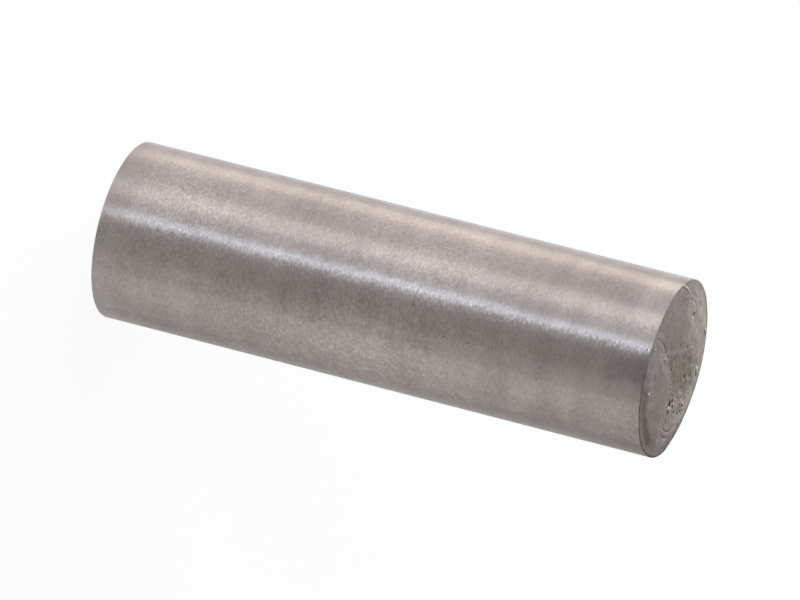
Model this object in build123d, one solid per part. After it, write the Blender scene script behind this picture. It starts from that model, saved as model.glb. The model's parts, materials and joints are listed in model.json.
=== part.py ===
from build123d import *
from math import asin, atan2, cos, degrees, radians, sqrt
import os

# Plain steel dowel pin: a straight length of ground bar with two blunt, sharp-edged ends.
# It stands on its square foot at z = 0, and its cropped end looks up at z = pin_length.
# Sizes are in millimetres. A direction on the cropped end is in degrees from +X towards +Y.

# Shank
pin_diameter = 8.0
pin_length = 26.0
foot_edge_break = 0.04
cropped_edge_break = 0.03

# Crescent trough, pushed in along one stretch of the rim by the cropping blade
# Its lowest line lies a little inside the rim, so its outer side runs out over the edge.
trough_inset = 0.35
trough_width = 1.10
trough_depth = 0.08
trough_direction = -32.0
trough_half_sweep = 44.0

# Rolled-over stretch of the rim, where the blade dragged the edge down
rollover_inset = 0.45
rollover_fall = 0.04
rollover_direction = 50.0

# Tool arcs, sets of fine grooves on the smooth metal at both sides of the torn hollow
# A set's centre is in shares of the pin's radius. Its widest arc keeps rim_gap from the rim
# along the set's direction, and the others step inwards from it.
arc_width = 0.16
arc_depth = 0.02
arc_pitch = 0.28
arc_sets = [
    {"centre": (0.28, 0.29), "direction": -10.0, "half_sweep": 46.0, "rim_gap": 0.85, "count": 3},
    {"centre": (0.00, 0.00), "direction": 179.0, "half_sweep": 28.0, "rim_gap": 0.65, "count": 2},
]

# Torn hollow, where the metal broke away between the two smooth lands
# Its outline is in shares of the pin's radius, and its floor falls towards one side.
torn_outline = [
    (-0.24, 0.20),
    (-0.33, 0.38),
    (-0.25, 0.60),
    (-0.06, 0.80),
    (0.16, 0.84),
    (0.36, 0.74),
    (0.50, 0.56),
    (0.53, 0.34),
    (0.46, 0.13),
    (0.28, 0.05),
    (0.08, -0.04),
    (0.00, -0.24),
    (-0.06, -0.46),
    (-0.16, -0.58),
    (-0.18, -0.36),
    (-0.20, -0.10),
]
torn_centre_depth = 0.04
torn_floor_fall = 0.6
torn_fall_direction = 75.0

# Pits: place in shares of the pin's radius, width and depth at the smooth lands
pits = [
    {"place": (-0.62, 0.23), "width": 0.34, "depth": 0.08},
    {"place": (-0.23, 0.30), "width": 0.36, "depth": 0.13},
    {"place": (0.07, 0.43), "width": 0.50, "depth": 0.16},
    {"place": (0.40, 0.20), "width": 0.56, "depth": 0.20},
    {"place": (0.46, 0.39), "width": 0.34, "depth": 0.13},
    {"place": (0.06, 0.71), "width": 0.38, "depth": 0.15},
    {"place": (-0.10, -0.35), "width": 0.32, "depth": 0.10},
]

pin_radius = pin_diameter / 2
standing = (Align.CENTER, Align.CENTER, Align.MIN)


def round_tool_radius(width, depth):
    """Radius of the round tool that leaves a hollow of this width at the mouth and this depth."""
    return (width**2 / 4 + depth**2) / (2 * depth)


def make_shank():
    """The ground bar, with the sharp corner just taken off both ends."""
    shank = Cylinder(pin_radius, pin_length, align=standing)
    foot_rim = shank.edges().filter_by(GeomType.CIRCLE).sort_by(Axis.Z)[0]
    shank = chamfer(foot_rim, foot_edge_break)
    cropped_rim = shank.edges().filter_by(GeomType.CIRCLE).sort_by(Axis.Z)[-1]
    return chamfer(cropped_rim, cropped_edge_break)


def fading_groove(centre, radius, width, depth, direction, half_sweep):
    """Ring tool, tipped so that it bites deepest at one direction and runs out to both sides."""
    tool_radius = round_tool_radius(width, depth)
    rise = depth / (1 - cos(radians(half_sweep)))
    tip = degrees(asin(rise / radius))
    centre_height = pin_length + tool_radius - depth + rise
    place = Pos(centre.X, centre.Y, centre_height)
    return place * Rot(Z=direction) * Rot(Y=tip) * Torus(radius, tool_radius)


def make_trough():
    """Crescent trough that follows the rim and runs out over its edge."""
    radius = pin_radius - trough_inset
    return fading_groove(
        Vector(0, 0), radius, trough_width, trough_depth, trough_direction, trough_half_sweep
    )


def make_rollover():
    """Slanting cut that starts a little way in from the rim and falls outwards."""
    above_slope = Box(2 * pin_diameter, 2 * pin_diameter, pin_diameter, align=standing)
    start = Pos(pin_radius - rollover_inset, 0, pin_length)
    slope = degrees(atan2(rollover_fall, rollover_inset))
    return Rot(Z=rollover_direction) * start * Rot(Y=slope) * above_slope


def widest_arc_radius(centre, direction, rim_gap):
    """Radius of the arc about this centre that comes to rim_gap from the rim in this direction."""
    outwards = Vector(1, 0).rotate(Axis.Z, direction)
    along = centre.dot(outwards)
    limit = pin_radius - rim_gap
    return sqrt(along**2 - centre.dot(centre) + limit**2) - along


def make_tool_arcs():
    """The sets of concentric arcs, each stepping inwards from its widest one."""
    arcs = []
    for arc_set in arc_sets:
        centre = Vector(*arc_set["centre"]) * pin_radius
        direction = arc_set["direction"]
        widest = widest_arc_radius(centre, direction, arc_set["rim_gap"])
        for turn in range(arc_set["count"]):
            radius = widest - turn * arc_pitch
            arcs.append(
                fading_groove(
                    centre, radius, arc_width, arc_depth, direction, arc_set["half_sweep"]
                )
            )
    return arcs


def make_torn_hollow():
    """Shallow hollow with a ragged outline and a sloping floor."""
    points = [(pin_radius * x, pin_radius * y) for x, y in torn_outline]
    outline = make_face(Spline(*points, periodic=True))
    column = extrude(Pos(0, 0, pin_length) * outline, amount=pin_radius, both=True)
    above_floor = Box(2 * pin_diameter, 2 * pin_diameter, 2 * pin_radius, align=standing)
    floor_height = pin_length - torn_centre_depth
    slope = Rot(Z=torn_fall_direction) * Rot(Y=torn_floor_fall)
    return column & (Pos(0, 0, floor_height) * slope * above_floor)


def make_pits():
    """Round-bottomed pits."""
    cuts = []
    for pit in pits:
        tool_radius = round_tool_radius(pit["width"], pit["depth"])
        x_share, y_share = pit["place"]
        centre_height = pin_length + tool_radius - pit["depth"]
        place = Pos(pin_radius * x_share, pin_radius * y_share, centre_height)
        cuts.append(place * Sphere(tool_radius))
    return cuts


def make_dowel_pin():
    """The whole pin, one solid."""
    pin = make_shank() - make_torn_hollow()
    for cut in [make_trough(), make_rollover()] + make_tool_arcs() + make_pits():
        pin = pin - cut
    return pin


os.makedirs("parts", exist_ok=True)
dowel_pin = make_dowel_pin()
dowel_pin.label = "dowel_pin"
export_step(dowel_pin, "parts/dowel_pin.step")
print("dowel_pin", dowel_pin.bounding_box(), "volume", round(dowel_pin.volume, 3))
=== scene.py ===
"""A plain steel dowel pin, standing on its square foot, with its cropped end up.

Everything is in metres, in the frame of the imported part: +Z along the pin, the foot at z = 0.
The camera lies on its side, as the photograph does, so the pin runs across the picture.
A bearing is a direction round the pin in degrees: 0 is the camera's side, 90 is +X, 180 is +Y.
A direction on the cropped end is in degrees from +X towards +Y.
"""
import json
from math import acos, atan2, cos, degrees, hypot, pi, radians, sin, tan

import bmesh
import bpy
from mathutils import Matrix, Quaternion, Vector


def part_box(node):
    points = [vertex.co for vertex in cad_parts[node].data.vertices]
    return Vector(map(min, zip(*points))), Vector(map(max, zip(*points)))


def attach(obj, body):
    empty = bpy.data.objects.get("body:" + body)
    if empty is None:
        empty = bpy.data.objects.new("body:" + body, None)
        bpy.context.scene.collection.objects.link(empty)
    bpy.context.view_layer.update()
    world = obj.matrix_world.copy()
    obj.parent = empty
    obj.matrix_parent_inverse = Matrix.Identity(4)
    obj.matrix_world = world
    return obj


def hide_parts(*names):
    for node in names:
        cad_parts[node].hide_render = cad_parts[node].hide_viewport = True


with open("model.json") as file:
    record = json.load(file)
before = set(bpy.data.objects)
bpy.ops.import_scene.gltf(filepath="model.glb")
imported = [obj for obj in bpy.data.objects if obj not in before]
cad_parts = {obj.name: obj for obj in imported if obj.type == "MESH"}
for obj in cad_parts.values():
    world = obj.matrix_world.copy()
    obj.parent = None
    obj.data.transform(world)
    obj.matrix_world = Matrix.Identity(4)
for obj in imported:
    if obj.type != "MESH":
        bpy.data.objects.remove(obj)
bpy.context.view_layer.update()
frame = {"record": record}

MM = 0.001

# Driving sizes, read from the frame
mounts = {mount["name"]: mount for mount in frame["record"]["mounts"]}
pin_radius = mounts["ground_shank"]["dims"]["r_mm"] * MM
pin_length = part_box("dowel_pin")[1].z

# Edges: the sharp corner is only just taken off
foot_edge_break = 0.04 * MM
cropped_edge_break = 0.03 * MM

# Division of the mesh: cells of about 0.03 mm on the cropped end, long strips on the shank
steps_round = 480
shank_cuts = 12
rim_rings = 4
rim_ring_width = 0.05 * MM
level_tolerance = 1e-7

# Z share of a face's normal: below the first a face is upright, below the second it is steep,
# and above the last it is flat
upright_limit = 0.01
steep_limit = 0.9
flat_limit = 0.999

# Share of a broken edge's width that is allowed for when its points or faces are picked
edge_allowance = 0.1

# A mark is pressed by its middle, and the metal round it follows over its reach. Both are shares
# of the mark's width, but a line's middle is thinnest_line, just wider than a cell of the mesh,
# and an arc's middle is at least that.
thinnest_line = 0.04 * MM
arc_middle_share = 0.2
arc_reach_share = 0.45
line_reach_share = 0.5
pit_middle_share = 0.15
pit_reach_share = 0.4

# A groove that fades to both ends is pressed several times, over these shares of its sweep
fading_steps = (1.0, 0.8, 0.6, 0.4)

# Crescent trough, pushed in along one stretch of the rim, with its outer side over the edge.
# Its finish reaches trough_mark_width in from the rim, and a little less far round it.
trough_inset = 0.08 * MM
trough_width = 1.50 * MM
trough_depth = 0.034 * MM
trough_direction = -40.0
trough_half_sweep = 38.0
trough_mark_width = 1.0 * MM
trough_mark_half_sweep = 30.4

# Rolled-over stretch of the rim, where the blade dragged the edge down
rollover_inset = 0.45 * MM
rollover_fall = 0.04 * MM
rollover_direction = 50.0

# Tool arcs on the smooth metal: centre in shares of the radius, own radius and depth in millimetres
arc_width = 0.20 * MM
tool_arcs = [
    {"centre": (0.28, 0.29), "radius": 1.93, "direction": -8.0, "half_sweep": 50.0, "depth": 0.005},
    {"centre": (0.28, 0.29), "radius": 1.65, "direction": 2.0, "half_sweep": 44.0, "depth": 0.007},
    {"centre": (0.25, 0.27), "radius": 1.44, "direction": -20.0, "half_sweep": 30.0, "depth": 0.004},
    {"centre": (0.0, 0.0), "radius": 3.35, "direction": 179.0, "half_sweep": 28.0, "depth": 0.003},
    {"centre": (0.0, 0.0), "radius": 3.07, "direction": 179.0, "half_sweep": 28.0, "depth": 0.003},
    {"centre": (0.0, 0.0), "radius": 3.45, "direction": 228.0, "half_sweep": 34.0, "depth": 0.005},
]

# Torn hollow, where the metal broke away between the two smooth lands, in shares of the radius
torn_outline = [
    (-0.24, 0.20),
    (-0.33, 0.38),
    (-0.25, 0.60),
    (-0.06, 0.80),
    (0.16, 0.84),
    (0.36, 0.74),
    (0.50, 0.56),
    (0.53, 0.34),
    (0.46, 0.13),
    (0.28, 0.05),
    (0.08, -0.04),
    (0.00, -0.24),
    (-0.06, -0.46),
    (-0.16, -0.58),
    (-0.18, -0.36),
    (-0.20, -0.10),
]
torn_depth = 0.008 * MM
torn_edge = 0.40 * MM
torn_fall = 0.020 * MM
torn_fall_start = 1.2 * MM
torn_fall_reach = 1.6 * MM

# Sheared lands, the two smooth places where the blade slid, in shares of the radius
sheared_lands = [
    [(-0.72, -0.14), (-0.50, 0.16), (-0.24, 0.20), (-0.18, -0.12), (-0.26, -0.55), (-0.52, -0.58)],
    [(0.06, -0.16), (0.18, 0.00), (0.52, 0.03), (0.60, -0.24), (0.44, -0.44), (0.10, -0.50)],
]

# Thin step that carries the tongue of the torn metal on towards the rim, in shares of the radius
step_line = [(-0.14, -0.43), (-0.20, -0.56), (-0.26, -0.80)]
step_width = 0.24 * MM
step_depth = 0.006 * MM

# Pits: place in shares of the pin's radius, width and depth
pits = [
    {"place": (-0.62, 0.23), "width": 0.32 * MM, "depth": 0.024 * MM},
    {"place": (-0.26, 0.31), "width": 0.26 * MM, "depth": 0.015 * MM},
    {"place": (-0.26, 0.03), "width": 0.20 * MM, "depth": 0.014 * MM},
    {"place": (0.07, 0.48), "width": 0.40 * MM, "depth": 0.020 * MM},
    {"place": (0.40, 0.19), "width": 0.38 * MM, "depth": 0.036 * MM},
    {"place": (0.43, 0.14), "width": 0.28 * MM, "depth": 0.024 * MM},
    {"place": (0.36, 0.26), "width": 0.28 * MM, "depth": 0.022 * MM},
    {"place": (0.47, 0.42), "width": 0.26 * MM, "depth": 0.020 * MM},
    {"place": (0.47, 0.56), "width": 0.20 * MM, "depth": 0.020 * MM},
    {"place": (0.44, 0.64), "width": 0.20 * MM, "depth": 0.018 * MM},
    {"place": (0.03, 0.70), "width": 0.36 * MM, "depth": 0.014 * MM},
    {"place": (0.24, 0.06), "width": 0.22 * MM, "depth": 0.014 * MM},
    {"place": (0.03, -0.07), "width": 0.26 * MM, "depth": 0.016 * MM},
    {"place": (-0.10, -0.31), "width": 0.26 * MM, "depth": 0.020 * MM},
    {"place": (-0.14, -0.45), "width": 0.22 * MM, "depth": 0.014 * MM},
    {"place": (0.35, -0.57), "width": 0.18 * MM, "depth": 0.014 * MM},
]

# Burrs and crumbs that stand up: from, to (shares of the radius), width and height
# Each one is coloured bright where it stands: bare metal with a painted highlight
burrs = [
    {"from": (-0.90, -0.40), "to": (-0.87, -0.22), "width": 0.12 * MM, "height": 0.010 * MM},
    {"from": (-0.87, -0.22), "to": (-0.83, -0.08), "width": 0.10 * MM, "height": 0.008 * MM},
    {"from": (-0.50, 0.79), "to": (-0.46, 0.85), "width": 0.16 * MM, "height": 0.022 * MM},
    {"from": (-0.06, 0.86), "to": (-0.01, 0.88), "width": 0.24 * MM, "height": 0.030 * MM},
    {"from": (0.33, -0.66), "to": (0.35, -0.69), "width": 0.13 * MM, "height": 0.014 * MM},
    {"from": (0.35, -0.54), "to": (0.36, -0.55), "width": 0.10 * MM, "height": 0.016 * MM},
    {"from": (-0.08, -0.40), "to": (-0.06, -0.41), "width": 0.15 * MM, "height": 0.026 * MM},
    {"from": (0.44, 0.19), "to": (0.47, 0.23), "width": 0.16 * MM, "height": 0.036 * MM},
    {"from": (0.38, 0.31), "to": (0.40, 0.34), "width": 0.16 * MM, "height": 0.032 * MM},
    {"from": (0.34, 0.64), "to": (0.36, 0.68), "width": 0.15 * MM, "height": 0.026 * MM},
    {"from": (0.40, 0.70), "to": (0.41, 0.72), "width": 0.12 * MM, "height": 0.020 * MM},
    {"from": (0.25, 0.54), "to": (0.27, 0.56), "width": 0.14 * MM, "height": 0.020 * MM},
    {"from": (0.08, 0.59), "to": (0.09, 0.61), "width": 0.13 * MM, "height": 0.018 * MM},
    {"from": (-0.15, -0.85), "to": (-0.14, -0.86), "width": 0.12 * MM, "height": 0.016 * MM},
]

# Marks on the cropped end that its finish reads, and how far the finish of a pit, or the bright
# colour of a burr, which is a painted highlight on bare metal, reaches each side of its middle, in
# shares of its width
finish_marks = ("torn_metal", "sheared_land", "trough", "pit", "burr")
pit_mark_share = 0.3
burr_highlight_share = 0.35

# Relief of the whole cropped end: slow waves, and flakes and crumbs in the torn metal
wave_size = 1.3 * MM
wave_height = 0.03 * MM
flake_size = 0.42 * MM
flake_height = 0.024 * MM
crumb_size = 0.15 * MM
crumb_height = 0.009 * MM

# Faces that meet at less than this angle, in degrees, shade as one smooth surface
smooth_angle = 40.0

# Camera, as fitted to the pin's outline in the photograph
picture_width = 800
camera_elevation = 18.24
camera_roll = 104.305
camera_distance = 430.2 * MM
pixels_per_metre = 22800.0
pixels_left = 1.43
pixels_up = 1.59
sensor_width = 36.0

# Studio: a pale floor with a low curled-up rim, and tall soft lamps that stand round the pin.
# A lamp gives off lamp_power watts for each of its square metres, times its brightness.
floor_steps_round = 128
floor_radius = 0.80
floor_rim_radius = 0.86
floor_rim_height = 0.06
floor_rim_steps = 6
floor_white_share = 0.93
lamp_distance = 0.5
lamp_bottom = 0.002
lamp_top = 0.5
lamp_power = 4.0
lamps = [
    {"name": "warm_strip", "from": -127, "to": -107, "brightness": (2.08, 1.93, 1.63)},
    {"name": "warm_panel", "from": -65, "to": -43, "brightness": (1.33, 1.37, 1.46)},
    {"name": "cool_strip", "from": -21.5, "to": -14.0, "brightness": (4.00, 4.88, 6.00)},
    {"name": "front_right", "from": 34, "to": 52, "brightness": (0.42, 0.44, 0.45)},
    {"name": "side_panel", "from": 55, "to": 92, "brightness": (0.84, 0.91, 0.93)},
    {"name": "side_far", "from": 92, "to": 119, "brightness": (0.46, 0.51, 0.47)},
    {"name": "back_left", "from": -180, "to": -147, "brightness": (0.70, 0.68, 0.62)},
]

# Surroundings: their strength on the dark side and the bright side, and the X share of a
# direction at which the bright side begins
world_dark = 0.01
world_bright = 1.62
world_bright_start = -0.55


def linear(code):
    """Linear colour of an sRGB hex value."""
    shares = [int(code[i : i + 2], 16) / 255 for i in (1, 3, 5)]
    return [s / 12.92 if s <= 0.04045 else ((s + 0.055) / 1.055) ** 2.4 for s in shares] + [1.0]


def new_material(name):
    """An empty material, and its node tree to fill."""
    material = bpy.data.materials.new(name)
    material.use_nodes = True
    material.node_tree.nodes.clear()
    return material, material.node_tree


def add(tree, kind, settings, links=None):
    """Adds a node, and sets and links its properties and sockets by name or number."""
    node = tree.nodes.new(kind)
    for key, value in settings.items():
        if isinstance(key, str) and hasattr(node, key):
            setattr(node, key, value)
        else:
            node.inputs[key].default_value = value
    for key, source in (links or {}).items():
        tree.links.new(source, node.inputs[key])
    return node


# Modelling in edit mode


def edit_only(piece):
    """Selects one piece alone and opens it in edit mode."""
    bpy.ops.object.select_all(action="DESELECT")
    piece.select_set(True)
    bpy.context.view_layer.objects.active = piece
    bpy.ops.object.mode_set(mode="EDIT")


def pick(piece, kind, wanted):
    """In edit mode, selects only the elements that the test wants, and says how many."""
    bpy.ops.mesh.select_mode(type=kind)
    bpy.ops.mesh.select_all(action="DESELECT")
    mesh = bmesh.from_edit_mesh(piece.data)
    elements = {"VERT": mesh.verts, "EDGE": mesh.edges, "FACE": mesh.faces}[kind]
    found = [element for element in elements if not element.hide and wanted(element)]
    for element in found:
        element.select_set(True)
    bmesh.update_edit_mesh(piece.data)
    return len(found)


def on_level(element, height):
    """Whether an edge or face lies in the level at this height."""
    return all(abs(corner.co.z - height) < level_tolerance for corner in element.verts)


def press(piece, wanted, depth, reach):
    """Pushes the picked points down by depth, and their neighbours within reach after them."""
    if pick(piece, "VERT", wanted):
        bpy.ops.transform.translate(
            value=(0, 0, -depth),
            use_proportional_edit=True,
            proportional_edit_falloff="SMOOTH",
            proportional_size=reach,
        )


def full_size(place):
    """A place that is given in shares of the pin's radius, at full size."""
    return pin_radius * place[0], pin_radius * place[1]


def turn_from(direction, x, y):
    """How far a place is turned from a direction on the cropped end, from -180 to 180 degrees."""
    return (degrees(atan2(y, x)) - direction + 180) % 360 - 180


def distance_to_line(x, y, start, end):
    """Distance of a point from the straight line between two points."""
    run_x, run_y = end[0] - start[0], end[1] - start[1]
    along = ((x - start[0]) * run_x + (y - start[1]) * run_y) / (run_x**2 + run_y**2)
    along = min(max(along, 0.0), 1.0)
    return hypot(x - start[0] - along * run_x, y - start[1] - along * run_y)


def inside(x, y, outline):
    """Whether a point lies inside a closed outline, by the edges that it sees to its right."""
    crossings = 0
    for (x1, y1), (x2, y2) in zip(outline, outline[1:] + outline[:1]):
        if (y1 > y) != (y2 > y) and x < x1 + (y - y1) / (y2 - y1) * (x2 - x1):
            crossings += 1
    return crossings % 2 == 1


def make_blank():
    """The bar, with both rims broken and its cropped end divided into an even grid."""
    bpy.ops.object.select_all(action="DESELECT")
    bpy.ops.mesh.primitive_cylinder_add(
        vertices=steps_round,
        radius=pin_radius,
        depth=pin_length,
        location=(0, 0, pin_length / 2),
    )
    pin = bpy.context.object
    pin.name = "ground_steel_pin"
    bpy.ops.object.transform_apply(location=True)
    edit_only(pin)

    # Both rims
    for height, width in ((0.0, foot_edge_break), (pin_length, cropped_edge_break)):
        pick(pin, "EDGE", lambda edge: on_level(edge, height))
        bpy.ops.mesh.bevel(offset=width, offset_type="OFFSET", segments=2, affect="EDGES")

    # Shank, cut across into strips
    for cut in range(1, shank_cuts):
        pick(pin, "FACE", lambda face: abs(face.normal.z) < upright_limit)
        bpy.ops.mesh.bisect(plane_co=(0, 0, cut * pin_length / shank_cuts), plane_no=(0, 0, 1))

    # Foot, divided from its centre
    pick(pin, "FACE", lambda face: face.normal.z < -flat_limit)
    bpy.ops.mesh.poke()

    # Cropped end: rings that follow the rim, and an even grid inside them
    pick(pin, "FACE", lambda face: face.normal.z > flat_limit)
    for ring in range(rim_rings):
        bpy.ops.mesh.inset(thickness=rim_ring_width)
    bpy.ops.mesh.delete(type="ONLY_FACE")
    pick(pin, "EDGE", lambda edge: edge.is_boundary)
    bpy.ops.mesh.fill_grid(span=steps_round // 4)
    pick(pin, "FACE", lambda face: face.normal.z > flat_limit)
    bpy.ops.mesh.subdivide(number_cuts=1)
    bpy.ops.object.mode_set(mode="OBJECT")
    return pin


def press_arc(pin, centre, radius, direction, half_sweep, width, depth):
    """Groove that fades to both ends: each press takes a shorter sweep than the one before."""
    line_width = max(arc_middle_share * width, thinnest_line)
    reach = arc_reach_share * width

    def on_arc(point, sweep):
        """Whether a point is in the middle of the groove, within this share of its sweep."""
        x, y = point.co.x - centre[0], point.co.y - centre[1]
        if point.co.z < pin_length / 2 or abs(hypot(x, y) - radius) > line_width / 2:
            return False
        return abs(turn_from(direction, x, y)) < sweep * half_sweep

    for sweep in fading_steps:
        press(pin, lambda point: on_arc(point, sweep), depth / len(fading_steps), reach)


def press_line(pin, start, end, width, depth):
    """Straight groove, or a ridge where the depth is negative."""

    def on_line(point):
        """Whether a point is in the middle of the groove."""
        return distance_to_line(point.co.x, point.co.y, start, end) < thinnest_line / 2

    press(pin, on_line, depth, line_reach_share * width)


def roll_rim_over(pin):
    """Drags a stretch of the rim down, most in its middle."""
    half_sweep = degrees(acos(1 - rollover_inset / pin_radius))
    at_rim = pin_radius - (1 + edge_allowance) * cropped_edge_break

    def on_rim(point, sweep):
        """Whether a point is on the broken edge, within this share of the rollover's sweep."""
        x, y, z = point.co
        turn = turn_from(rollover_direction, x, y)
        return z > pin_length / 2 and hypot(x, y) > at_rim and abs(turn) < sweep * half_sweep

    fall = rollover_fall / len(fading_steps)
    for sweep in fading_steps:
        press(pin, lambda point: on_rim(point, sweep), fall, rollover_inset)


def shape_cropped_end(pin):
    """Presses every mark into the cropped end: first those at the rim, then those inside it."""
    edit_only(pin)
    trough_radius = pin_radius - trough_inset
    press_arc(
        pin, (0, 0), trough_radius, trough_direction, trough_half_sweep, trough_width, trough_depth
    )
    roll_rim_over(pin)

    # From here on the rim and the shank are hidden, so that nothing drags them along
    pick(pin, "FACE", lambda face: face.normal.z < steep_limit)
    bpy.ops.mesh.hide()
    outline = [full_size(corner) for corner in torn_outline]
    press(pin, lambda point: inside(point.co.x, point.co.y, outline), torn_depth, torn_edge)
    press(
        pin,
        lambda point: point.co.y > torn_fall_start and inside(point.co.x, point.co.y, outline),
        torn_fall,
        torn_fall_reach,
    )
    for arc in tool_arcs:
        press_arc(
            pin,
            full_size(arc["centre"]),
            arc["radius"] * MM,
            arc["direction"],
            arc["half_sweep"],
            arc_width,
            arc["depth"] * MM,
        )
    line = [full_size(corner) for corner in step_line]
    for start, end in zip(line, line[1:]):
        press_line(pin, start, end, step_width, step_depth)
    for pit in pits:
        x, y = full_size(pit["place"])
        middle = pit_middle_share * pit["width"]
        press(
            pin,
            lambda point: hypot(point.co.x - x, point.co.y - y) < middle,
            pit["depth"],
            pit_reach_share * pit["width"],
        )
    for burr in burrs:
        start, end = full_size(burr["from"]), full_size(burr["to"])
        press_line(pin, start, end, burr["width"], -burr["height"])
    bpy.ops.mesh.reveal(select=False)
    bpy.ops.object.mode_set(mode="OBJECT")


def mark(pin, name, wanted, softening=0):
    """Vertex group of the cropped end's points that the test wants, softened so many times."""
    edit_only(pin)
    bpy.ops.object.vertex_group_add()
    pin.vertex_groups.active.name = name
    pick(
        pin,
        "VERT",
        lambda point: point.co.z > pin_length / 2 and wanted(point.co.x, point.co.y),
    )
    bpy.ops.object.vertex_group_assign()
    if softening:
        bpy.ops.mesh.select_all(action="SELECT")
        bpy.ops.object.vertex_group_smooth(factor=0.5, repeat=softening)
    bpy.ops.object.mode_set(mode="OBJECT")


def mark_cropped_end(pin):
    """Groups for the relief and the finish: the whole end, and each kind of mark on it."""
    outline = [full_size(corner) for corner in torn_outline]
    lands = [[full_size(corner) for corner in land] for land in sheared_lands]

    def in_trough(x, y):
        """Whether a place has the finish of the trough."""
        near_rim = hypot(x, y) > pin_radius - trough_mark_width
        return near_rim and abs(turn_from(trough_direction, x, y)) < trough_mark_half_sweep

    def in_pit(x, y):
        """Whether a place has the finish of a pit."""
        for pit in pits:
            pit_x, pit_y = full_size(pit["place"])
            if hypot(x - pit_x, y - pit_y) < pit_mark_share * pit["width"]:
                return True
        return False

    def on_burr_highlight(x, y):
        """Whether a place has a burr's bright colour: bare metal with a painted highlight."""
        for burr in burrs:
            start, end = full_size(burr["from"]), full_size(burr["to"])
            if distance_to_line(x, y, start, end) < burr_highlight_share * burr["width"]:
                return True
        return False

    mark(pin, "end", lambda x, y: True)
    mark(pin, "torn_metal", lambda x, y: inside(x, y, outline), softening=90)
    mark(pin, "sheared_land", lambda x, y: any(inside(x, y, land) for land in lands), softening=90)
    mark(pin, "trough", in_trough, softening=60)
    mark(pin, "pit", in_pit, softening=2)
    mark(pin, "burr", on_burr_highlight, softening=1)


def roughen(pin):
    """Slow waves over the whole end, and flakes and crumbs in the torn metal."""
    scale = bpy.data.objects.new("millimetres", None)
    bpy.context.scene.collection.objects.link(scale)
    scale.scale = (MM, MM, MM)
    bpy.context.view_layer.update()
    reliefs = (
        ("waves", wave_size, wave_height, "end"),
        ("flakes", flake_size, flake_height, "torn_metal"),
        ("crumbs", crumb_size, crumb_height, "torn_metal"),
    )
    for name, size, height, group in reliefs:
        texture = bpy.data.textures.new(name, "CLOUDS")
        texture.noise_scale = size / MM
        texture.noise_depth = 2
        modifier = pin.modifiers.new(name, "DISPLACE")
        modifier.texture = texture
        modifier.texture_coords = "OBJECT"
        modifier.texture_coords_object = scale
        modifier.direction = "Z"
        modifier.vertex_group = group
        modifier.strength = height
        modifier.mid_level = 0.5
        bpy.ops.object.modifier_apply(modifier=name)
    bpy.data.objects.remove(scale)


def keep_marks(pin):
    """Copies groups to attributes, for the finish of the cropped end to read."""
    for name in finish_marks:
        group = pin.vertex_groups[name]
        kept = pin.data.attributes.new(name + "_share", "FLOAT", "POINT")
        for point, share in zip(pin.data.vertices, kept.data):
            share.value = max([g.weight for g in point.groups if g.group == group.index], default=0.0)


def make_pin():
    """The whole pin, one closed mesh."""
    pin = make_blank()
    shape_cropped_end(pin)
    mark_cropped_end(pin)
    roughen(pin)
    keep_marks(pin)
    return pin


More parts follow.
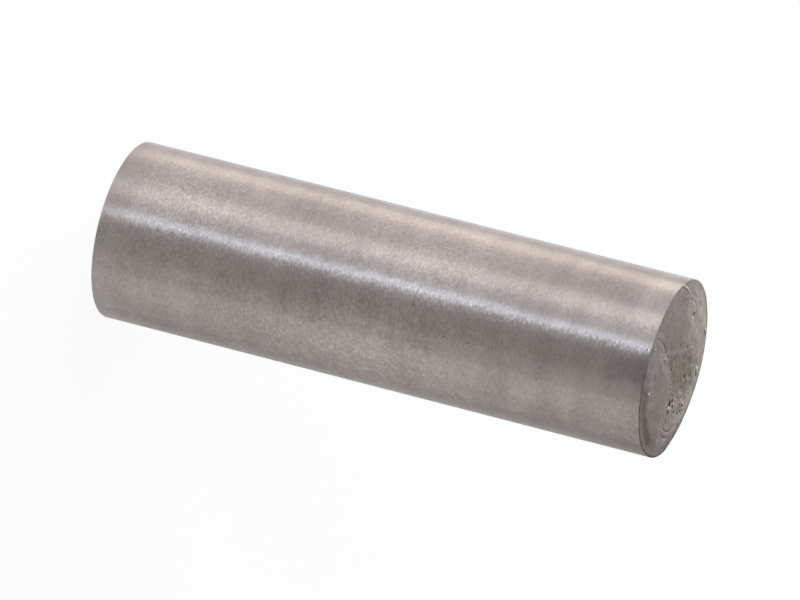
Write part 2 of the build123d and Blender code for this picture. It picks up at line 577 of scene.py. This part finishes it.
def ground_steel():
    """Bar steel ground between two wheels, which leaves short fine scratches round the pin.

    They spread every reflection along the pin, so it shows bands, with ragged, sparkling edges.
    """
    material, tree = new_material("Centreless ground steel")
    place = add(tree, "ShaderNodeTexCoord", {})
    tangent = add(tree, "ShaderNodeTangent", {"direction_type": "RADIAL", "axis": "Z"})

    # Size of each pattern's cells in millimetres, and how finely it is broken up.
    # Scratches are 0.01 mm wide on the real pin, and drawn 0.06 mm wide so that they show.
    patterns = {}
    for name, size, detail in (
        ("scratches", (0.22, 0.22, 0.055), 2.0),
        ("facets", (0.20, 0.20, 0.05), 1.0),
        ("grain", (0.08, 0.08, 0.07), 1.0),
        ("bars", (4.0, 4.0, 0.8), 2.0),
        ("clouds", (1.5, 1.5, 2.0), 3.0),
        ("waver", (2.0, 2.0, 3.0), 2.0),
    ):
        cells = add(
            tree,
            "ShaderNodeMapping",
            {"vector_type": "TEXTURE", "Scale": [side * MM for side in size]},
            {"Vector": place.outputs["Object"]},
        )
        value = add(
            tree,
            "ShaderNodeTexNoise",
            {"Scale": 1.0, "Detail": detail},
            {"Vector": cells.outputs[0]},
        )
        spread = add(
            tree,
            "ShaderNodeMapRange",
            {"From Min": 0.3, "From Max": 0.7},
            {"Value": value.outputs[0]},
        )
        patterns[name] = spread.outputs[0]

    # Patches where the steel is rubbed: place, reach, size and turn of the marks, and strength,
    # which is full within a fifth of the reach. The first patch has light scuffs that cross the
    # scratches, and the others have small flecks.
    rubbed = []
    for spot, reach, size, turn, strength in (
        ((3.0, -2.6, 13.5), 6.0, (0.60, 0.20, 0.20), (0, -45, 45), 0.36),
        ((3.6, -1.7, 11.0), 13.0, (0.16, 0.16, 0.10), (0, 0, 0), 0.45),
        ((-1.6, -3.7, 3.5), 4.0, (0.14, 0.14, 0.10), (0, 0, 0), 0.65),
        ((-1.8, -3.6, 16.0), 5.0, (0.14, 0.14, 0.10), (0, 0, 0), 0.40),
    ):
        cells = add(
            tree,
            "ShaderNodeMapping",
            {
                "vector_type": "TEXTURE",
                "Rotation": [radians(angle) for angle in turn],
                "Scale": [side * MM for side in size],
            },
            {"Vector": place.outputs["Object"]},
        )
        value = add(
            tree, "ShaderNodeTexNoise", {"Scale": 1.0, "Detail": 1.0}, {"Vector": cells.outputs[0]}
        )
        from_spot = add(
            tree,
            "ShaderNodeVectorMath",
            {"operation": "DISTANCE", 1: [side * MM for side in spot]},
            {0: place.outputs["Object"]},
        )
        near_spot = add(
            tree,
            "ShaderNodeMapRange",
            {"From Min": reach * MM, "From Max": 0.2 * reach * MM, "To Max": strength},
            {"Value": from_spot.outputs["Value"]},
        )
        lines = add(
            tree,
            "ShaderNodeMapRange",
            {"From Min": 0.45, "From Max": 0.75},
            {"Value": value.outputs[0], "To Max": near_spot.outputs[0]},
        )
        rubbed.append(lines.outputs[0])

    # The patterns together, as one share from dark to light
    share = None
    for name, weight in (("scratches", 0.30), ("grain", 0.16), ("bars", 0.22), ("clouds", 0.24)):
        share = add(
            tree,
            "ShaderNodeMath",
            {"operation": "MULTIPLY_ADD", 1: weight, 2: 0.0},
            {0: patterns[name], 2: share.outputs[0]} if share else {0: patterns[name]},
        )
    for lines in rubbed:
        share = add(tree, "ShaderNodeMath", {}, {0: share.outputs[0], 1: lines})
    toned = add(
        tree,
        "ShaderNodeMix",
        {"data_type": "RGBA", 6: linear("#918784"), 7: linear("#BFB4AF")},
        {0: share.outputs[0]},
    )

    # Small dark pits, at most 0.17 mm wide, one now and then
    pit_cells = add(
        tree,
        "ShaderNodeMapping",
        {"vector_type": "TEXTURE", "Scale": (1.2 * MM, 1.2 * MM, 1.2 * MM)},
        {"Vector": place.outputs["Object"]},
    )
    pit = add(tree, "ShaderNodeTexVoronoi", {"Scale": 1.0}, {"Vector": pit_cells.outputs[0]})
    unpitted = add(
        tree,
        "ShaderNodeMapRange",
        {"From Min": 0.02, "From Max": 0.07, "To Min": 0.62},
        {"Value": pit.outputs["Distance"]},
    )
    colour = add(
        tree,
        "ShaderNodeMix",
        {"data_type": "RGBA", "blend_type": "MULTIPLY", 0: 1.0},
        {6: toned.outputs[2], 7: unpitted.outputs[0]},
    )

    # The surface leans a little to either side, and is duller in places, so the bands sparkle
    fine_lean = add(
        tree, "ShaderNodeMapRange", {"To Min": -0.030, "To Max": 0.030}, {"Value": patterns["facets"]}
    )
    slow_lean = add(
        tree, "ShaderNodeMapRange", {"To Min": -0.010, "To Max": 0.010}, {"Value": patterns["waver"]}
    )
    lean = add(tree, "ShaderNodeMath", {}, {0: fine_lean.outputs[0], 1: slow_lean.outputs[0]})
    sideways = add(
        tree,
        "ShaderNodeVectorMath",
        {"operation": "SCALE"},
        {0: tangent.outputs[0], "Scale": lean.outputs[0]},
    )
    surface = add(tree, "ShaderNodeNewGeometry", {})
    leaning = add(
        tree,
        "ShaderNodeVectorMath",
        {"operation": "ADD"},
        {0: surface.outputs["Normal"], 1: sideways.outputs[0]},
    )
    bump = add(
        tree,
        "ShaderNodeBump",
        {"Distance": 0.001 * MM},
        {"Height": patterns["scratches"], "Normal": leaning.outputs[0]},
    )
    sharpness = add(
        tree, "ShaderNodeMapRange", {"To Min": 0.38, "To Max": 0.47}, {"Value": patterns["facets"]}
    )
    shader = add(
        tree,
        "ShaderNodeBsdfPrincipled",
        {"Metallic": 1.0, "Anisotropic": 1.0, "Anisotropic Rotation": 0.25},
        {
            "Base Color": colour.outputs[2],
            "Roughness": sharpness.outputs[0],
            "Tangent": tangent.outputs[0],
            "Normal": bump.outputs[0],
        },
    )
    add(tree, "ShaderNodeOutputMaterial", {}, {"Surface": shader.outputs[0]})
    return material


def cropped_steel():
    """Bar steel cut off between two blades, which shear it smooth in places and tear the rest.

    The sheared lands look satin. The rest is grainy and mottled, with freshly torn crumbs, painted
    brighter as a highlight.
    """
    material, tree = new_material("Cropped steel")
    place = add(tree, "ShaderNodeTexCoord", {})
    marks = {
        name: add(tree, "ShaderNodeAttribute", {"attribute_name": name + "_share"}).outputs["Fac"]
        for name in finish_marks
    }

    # Size of each pattern's cells in millimetres, its turn in degrees, and how finely it breaks up.
    # The grain is drawn at 0.1 mm: the real one is finer still.
    patterns = {}
    for name, size, turn, detail in (
        ("grain", (0.10, 0.14, 0.10), 0, 2.0),
        ("mottle", (0.40, 0.50, 0.40), 0, 2.0),
        ("strokes", (0.90, 0.17, 0.40), 58, 2.0),
    ):
        cells = add(
            tree,
            "ShaderNodeMapping",
            {
                "vector_type": "TEXTURE",
                "Rotation": (0.0, 0.0, radians(turn)),
                "Scale": [side * MM for side in size],
            },
            {"Vector": place.outputs["Object"]},
        )
        value = add(
            tree,
            "ShaderNodeTexNoise",
            {"Scale": 1.0, "Detail": detail},
            {"Vector": cells.outputs[0]},
        )
        spread = add(
            tree,
            "ShaderNodeMapRange",
            {"From Min": 0.3, "From Max": 0.7},
            {"Value": value.outputs[0]},
        )
        patterns[name] = spread.outputs[0]

    # Rings that the dragged metal left round the +X side, a little uneven
    ring_spacing = 0.12 * MM
    ring_centre = (0.4 * MM, 0.4 * MM, 0.0)
    ring_direction = (0.9, -0.44, 0.0)
    flat_place = add(
        tree,
        "ShaderNodeVectorMath",
        {"operation": "MULTIPLY", 1: (1.0, 1.0, 0.0)},
        {0: place.outputs["Object"]},
    )
    from_ring_centre = add(
        tree,
        "ShaderNodeVectorMath",
        {"operation": "DISTANCE", 1: ring_centre},
        {0: flat_place.outputs[0]},
    )
    ring_place = add(
        tree,
        "ShaderNodeMath",
        {"operation": "MULTIPLY_ADD", 1: 1 / ring_spacing},
        {0: from_ring_centre.outputs["Value"], 2: patterns["mottle"]},
    )
    ring_noise = add(
        tree,
        "ShaderNodeTexNoise",
        {"noise_dimensions": "1D", "Scale": 1.0, "Detail": 1.0},
        {"W": ring_place.outputs[0]},
    )
    ring_side = add(
        tree,
        "ShaderNodeVectorMath",
        {"operation": "DOT_PRODUCT", 1: ring_direction},
        {0: place.outputs["Object"]},
    )
    ring_zone = add(
        tree,
        "ShaderNodeMapRange",
        {"From Min": 1.6 * MM, "From Max": 2.6 * MM},
        {"Value": ring_side.outputs["Value"]},
    )
    rings = add(
        tree,
        "ShaderNodeMix",
        {"data_type": "FLOAT", 2: 0.5},
        {0: ring_zone.outputs[0], 3: ring_noise.outputs[0]},
    )

    # Tones: warm grey, paler towards the far left and in the torn metal, mauve grey on the lands,
    # and brown grey in the trough and the heart of the torn metal, which is longer along Y
    pale_direction = (-0.45, 0.9, 0.0)
    heart_centre = (-0.05 * MM, 0.4 * MM, 0.0)
    heart_shape = (1.0, 0.5, 0.0)
    pale_side = add(
        tree,
        "ShaderNodeVectorMath",
        {"operation": "DOT_PRODUCT", 1: pale_direction},
        {0: place.outputs["Object"]},
    )
    pale = add(
        tree,
        "ShaderNodeMapRange",
        {"interpolation_type": "SMOOTHSTEP", "From Min": 0.2 * MM, "From Max": 2.6 * MM},
        {"Value": pale_side.outputs["Value"]},
    )
    tone = add(
        tree,
        "ShaderNodeMix",
        {"data_type": "RGBA", 6: linear("#A69A99"), 7: linear("#CCC1BB")},
        {0: pale.outputs[0]},
    )
    heart_place = add(
        tree,
        "ShaderNodeVectorMath",
        {"operation": "MULTIPLY", 1: heart_shape},
        {0: place.outputs["Object"]},
    )
    from_heart = add(
        tree,
        "ShaderNodeVectorMath",
        {"operation": "DISTANCE", 1: heart_centre},
        {0: heart_place.outputs[0]},
    )
    near_heart = add(
        tree,
        "ShaderNodeMapRange",
        {"From Min": 1.9 * MM, "From Max": 0.7 * MM},
        {"Value": from_heart.outputs["Value"]},
    )
    streaks = add(
        tree,
        "ShaderNodeMapRange",
        {"To Min": 0.30, "To Max": 1.40},
        {"Value": patterns["strokes"]},
    )
    torn = add(
        tree,
        "ShaderNodeMath",
        {"operation": "MULTIPLY", "use_clamp": True},
        {0: marks["torn_metal"], 1: streaks.outputs[0]},
    )
    heart = add(
        tree,
        "ShaderNodeMath",
        {"operation": "MULTIPLY"},
        {0: near_heart.outputs[0], 1: torn.outputs[0]},
    )
    for zone, code in (
        (torn.outputs[0], "#BCB1AD"),
        (heart.outputs[0], "#8C8077"),
        (marks["sheared_land"], "#A39796"),
        (marks["trough"], "#A0928A"),
    ):
        tone = add(
            tree,
            "ShaderNodeMix",
            {"data_type": "RGBA", 7: linear(code)},
            {0: zone, 6: tone.outputs[2]},
        )

    # The patterns together, as one factor round 1, stronger in the torn metal, calmer on the lands
    share = None
    for source, weight in (
        (patterns["grain"], 0.30),
        (patterns["mottle"], 0.26),
        (patterns["strokes"], 0.28),
        (rings.outputs[0], 0.20),
    ):
        share = add(
            tree,
            "ShaderNodeMath",
            {"operation": "MULTIPLY_ADD", 1: weight, 2: 0.0},
            {0: source, 2: share.outputs[0]} if share else {0: source},
        )
    plain_mottling = add(
        tree,
        "ShaderNodeMapRange",
        {"From Min": 0.25, "From Max": 0.85, "To Min": 0.70, "To Max": 1.30},
        {"Value": share.outputs[0]},
    )
    torn_mottling = add(
        tree,
        "ShaderNodeMapRange",
        {"From Min": 0.25, "From Max": 0.85, "To Min": 0.58, "To Max": 1.58},
        {"Value": share.outputs[0]},
    )
    mottling = add(
        tree,
        "ShaderNodeMix",
        {"data_type": "FLOAT"},
        {0: marks["torn_metal"], 2: plain_mottling.outputs[0], 3: torn_mottling.outputs[0]},
    )
    calm = add(tree, "ShaderNodeMapRange", {"To Max": 0.7}, {"Value": marks["sheared_land"]})
    factor = add(
        tree,
        "ShaderNodeMix",
        {"data_type": "FLOAT", 3: 1.0},
        {0: calm.outputs[0], 2: mottling.outputs[0]},
    )
    textured = add(
        tree,
        "ShaderNodeVectorMath",
        {"operation": "SCALE"},
        {0: tone.outputs[2], "Scale": factor.outputs[0]},
    )

    # Single places on top: painted shade on the rim's last 0.2 mm, dark pits, and burrs painted bright
    # as a highlight on bare metal
    from_axis = add(tree, "ShaderNodeVectorMath", {"operation": "LENGTH"}, {0: flat_place.outputs[0]})
    # Painted shade along the rim, darkest at the broken edge
    edge = add(
        tree,
        "ShaderNodeMapRange",
        {"From Min": pin_radius - 0.20 * MM, "From Max": pin_radius - 0.03 * MM, "To Max": 0.55},
        {"Value": from_axis.outputs["Value"]},
    )
    rim_shaded = add(
        tree,
        "ShaderNodeMix",
        {"data_type": "RGBA", 7: linear("#6B6259")},
        {0: edge.outputs[0], 6: textured.outputs[0]},
    )
    pitted = add(
        tree,
        "ShaderNodeMix",
        {"data_type": "RGBA", 7: linear("#7A7067")},
        {0: marks["pit"], 6: rim_shaded.outputs[2]},
    )
    colour = add(
        tree,
        "ShaderNodeMix",
        {"data_type": "RGBA", 7: linear("#DDD5CF")},
        {0: marks["burr"], 6: pitted.outputs[2]},
    )

    # The same patterns stand up a little, less so on the lands
    relief = add(
        tree,
        "ShaderNodeMapRange",
        {"To Min": 1.0, "To Max": 0.2},
        {"Value": marks["sheared_land"]},
    )
    bump = add(
        tree,
        "ShaderNodeBump",
        {"Distance": 0.006 * MM},
        {"Height": share.outputs[0], "Strength": relief.outputs[0]},
    )
    shader = add(
        tree,
        "ShaderNodeBsdfPrincipled",
        {"Metallic": 1.0, "Roughness": 0.42},
        {"Base Color": colour.outputs[2], "Normal": bump.outputs[0]},
    )
    add(tree, "ShaderNodeOutputMaterial", {}, {"Surface": shader.outputs[0]})
    return material


def faced_steel():
    """Bar steel faced on a lathe: clean and satin, with fine even rings round its centre."""
    material, tree = new_material("Faced steel")
    place = add(tree, "ShaderNodeTexCoord", {})
    ring_spacing = 0.10 * MM
    flat_place = add(
        tree,
        "ShaderNodeVectorMath",
        {"operation": "MULTIPLY", 1: (1.0, 1.0, 0.0)},
        {0: place.outputs["Object"]},
    )
    from_axis = add(tree, "ShaderNodeVectorMath", {"operation": "LENGTH"}, {0: flat_place.outputs[0]})
    ring_place = add(
        tree,
        "ShaderNodeMath",
        {"operation": "MULTIPLY", 1: 1 / ring_spacing},
        {0: from_axis.outputs["Value"]},
    )
    rings = add(
        tree,
        "ShaderNodeTexNoise",
        {"noise_dimensions": "1D", "Scale": 1.0, "Detail": 1.0},
        {"W": ring_place.outputs[0]},
    )
    tone = add(
        tree,
        "ShaderNodeMix",
        {"data_type": "RGBA", 6: linear("#A59A96"), 7: linear("#C0B5B1")},
        {0: rings.outputs[0]},
    )
    bump = add(tree, "ShaderNodeBump", {"Distance": 0.003 * MM}, {"Height": rings.outputs[0]})
    shader = add(
        tree,
        "ShaderNodeBsdfPrincipled",
        {"Metallic": 1.0, "Roughness": 0.35},
        {"Base Color": tone.outputs[2], "Normal": bump.outputs[0]},
    )
    add(tree, "ShaderNodeOutputMaterial", {}, {"Surface": shader.outputs[0]})
    return material


def finish(pin):
    """Gives the shank, the cropped end and the foot their own finishes, and smooth shading."""
    for material in (ground_steel(), cropped_steel(), faced_steel()):
        pin.data.materials.append(material)

    # All faces start with the first finish, so only the two ends, with their edges, are picked
    edit_only(pin)

    def within(face, edge_break):
        """Whether a face lies inside the shank's surface, as those of an end and its edge do."""
        x, y, z = face.calc_center_median()
        return hypot(x, y) < pin_radius - edge_allowance * edge_break

    middle = pin_length / 2
    for index, wanted in (
        (1, lambda face: within(face, cropped_edge_break) and face.verts[0].co.z > middle),
        (2, lambda face: within(face, foot_edge_break) and face.verts[0].co.z < middle),
    ):
        pick(pin, "FACE", wanted)
        pin.active_material_index = index
        bpy.ops.object.material_slot_assign()
    bpy.ops.object.mode_set(mode="OBJECT")
    bpy.ops.object.shade_smooth_by_angle(angle=radians(smooth_angle))


def make_floor():
    """Round pale floor with a curled-up rim, seen as white, which still takes the shadow."""
    bpy.ops.object.select_all(action="DESELECT")
    bpy.ops.mesh.primitive_circle_add(
        vertices=floor_steps_round, radius=floor_radius, fill_type="NGON"
    )
    floor = bpy.context.object
    floor.name = "pale_floor"
    edit_only(floor)
    pick(floor, "EDGE", lambda edge: edge.is_boundary)
    radius, height = floor_radius, 0.0
    for step in range(1, floor_rim_steps + 1):
        turn = step / floor_rim_steps * pi / 2
        next_radius = floor_radius + (floor_rim_radius - floor_radius) * sin(turn)
        next_height = floor_rim_height * (1 - cos(turn))
        bpy.ops.mesh.extrude_region_move(
            TRANSFORM_OT_translate={"value": (0, 0, next_height - height)}
        )
        bpy.ops.transform.resize(value=(next_radius / radius, next_radius / radius, 1))
        radius, height = next_radius, next_height
    bpy.ops.object.mode_set(mode="OBJECT")
    bpy.ops.object.shade_smooth_by_angle(angle=radians(smooth_angle))

    # Matt paint gives no highlight. The camera and the steel see it almost as pure white, and the
    # rest of what they see is the paint itself, which shows the pin's shadow.
    material, tree = new_material("Matt white paint")
    paint = add(tree, "ShaderNodeBsdfDiffuse", {"Color": linear("#F6F6F6")})
    white = add(tree, "ShaderNodeEmission", {"Strength": 1.0})
    path = add(tree, "ShaderNodeLightPath", {})
    seen_or_mirrored = add(
        tree,
        "ShaderNodeMath",
        {"operation": "MAXIMUM"},
        {0: path.outputs["Is Camera Ray"], 1: path.outputs["Is Glossy Ray"]},
    )
    seen = add(
        tree,
        "ShaderNodeMath",
        {"operation": "MAXIMUM"},
        {0: seen_or_mirrored.outputs[0], 1: path.outputs["Is Transmission Ray"]},
    )
    share = add(
        tree,
        "ShaderNodeMath",
        {"operation": "MULTIPLY", 1: floor_white_share},
        {0: seen.outputs[0]},
    )
    surface = add(
        tree, "ShaderNodeMixShader", {}, {0: share.outputs[0], 1: paint.outputs[0], 2: white.outputs[0]}
    )
    add(tree, "ShaderNodeOutputMaterial", {}, {"Surface": surface.outputs[0]})
    floor.data.materials.append(material)


def make_lamp(name, low, high, brightness):
    """Tall soft lamp that faces the pin and fills the bearings from low to high."""
    bearing = radians((low + high) / 2)
    away = Vector((sin(bearing), -cos(bearing), 0))
    data = bpy.data.lights.new(name, "AREA")
    data.shape = "RECTANGLE"
    data.size = 2 * lamp_distance * tan(radians(high - low) / 2)
    data.size_y = lamp_top - lamp_bottom
    data.energy = lamp_power * data.size * data.size_y
    data.color = brightness
    lamp = bpy.data.objects.new(name, data)
    bpy.context.scene.collection.objects.link(lamp)
    lamp.location = away * lamp_distance + Vector((0, 0, (lamp_bottom + lamp_top) / 2))
    lamp.rotation_mode = "QUATERNION"
    lamp.rotation_quaternion = away.to_track_quat("Z", "Y")
    lamp.visible_camera = False


def make_world():
    """Soft surroundings, dark on the +X side and rising to full brightness on the -X side."""
    world = bpy.data.worlds.new("Studio")
    bpy.context.scene.world = world
    world.use_nodes = True
    tree = world.node_tree
    tree.nodes.clear()
    direction = add(tree, "ShaderNodeTexCoord", {})
    parts = add(tree, "ShaderNodeSeparateXYZ", {}, {0: direction.outputs["Generated"]})
    level = add(
        tree,
        "ShaderNodeMapRange",
        {
            "From Min": 0.0,
            "From Max": world_bright_start,
            "To Min": world_dark,
            "To Max": world_bright,
        },
        {"Value": parts.outputs[0]},
    )
    sky = add(
        tree,
        "ShaderNodeBackground",
        {"Color": (0.94, 0.99, 1.03, 1.0)},
        {"Strength": level.outputs[0]},
    )
    add(tree, "ShaderNodeOutputWorld", {}, {"Surface": sky.outputs[0]})


def make_camera():
    """Long lens on the -Y side, a little above the pin, rolled so that the pin lies across."""
    data = bpy.data.cameras.new("camera")
    camera = bpy.data.objects.new("camera", data)
    bpy.context.scene.collection.objects.link(camera)
    bpy.context.scene.camera = camera
    elevation = radians(camera_elevation)
    away = Vector((0, -cos(elevation), sin(elevation)))
    camera.location = Vector((0, 0, pin_length / 2)) + away * camera_distance
    camera.rotation_mode = "QUATERNION"
    upright = away.to_track_quat("Z", "Y")
    camera.rotation_quaternion = upright @ Quaternion((0, 0, 1), radians(camera_roll))
    data.sensor_width = sensor_width
    data.lens = pixels_per_metre * camera_distance / picture_width * sensor_width
    data.shift_x = pixels_left / picture_width
    data.shift_y = -pixels_up / picture_width
    data.clip_start = 0.05
    data.clip_end = 5.0


bpy.context.scene.view_settings.view_transform = "Standard"
make_camera()
make_world()
for lamp in lamps:
    make_lamp(lamp["name"], lamp["from"], lamp["to"], lamp["brightness"])
make_floor()
pin = make_pin()
finish(pin)
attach(pin, "root")
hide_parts("dowel_pin")
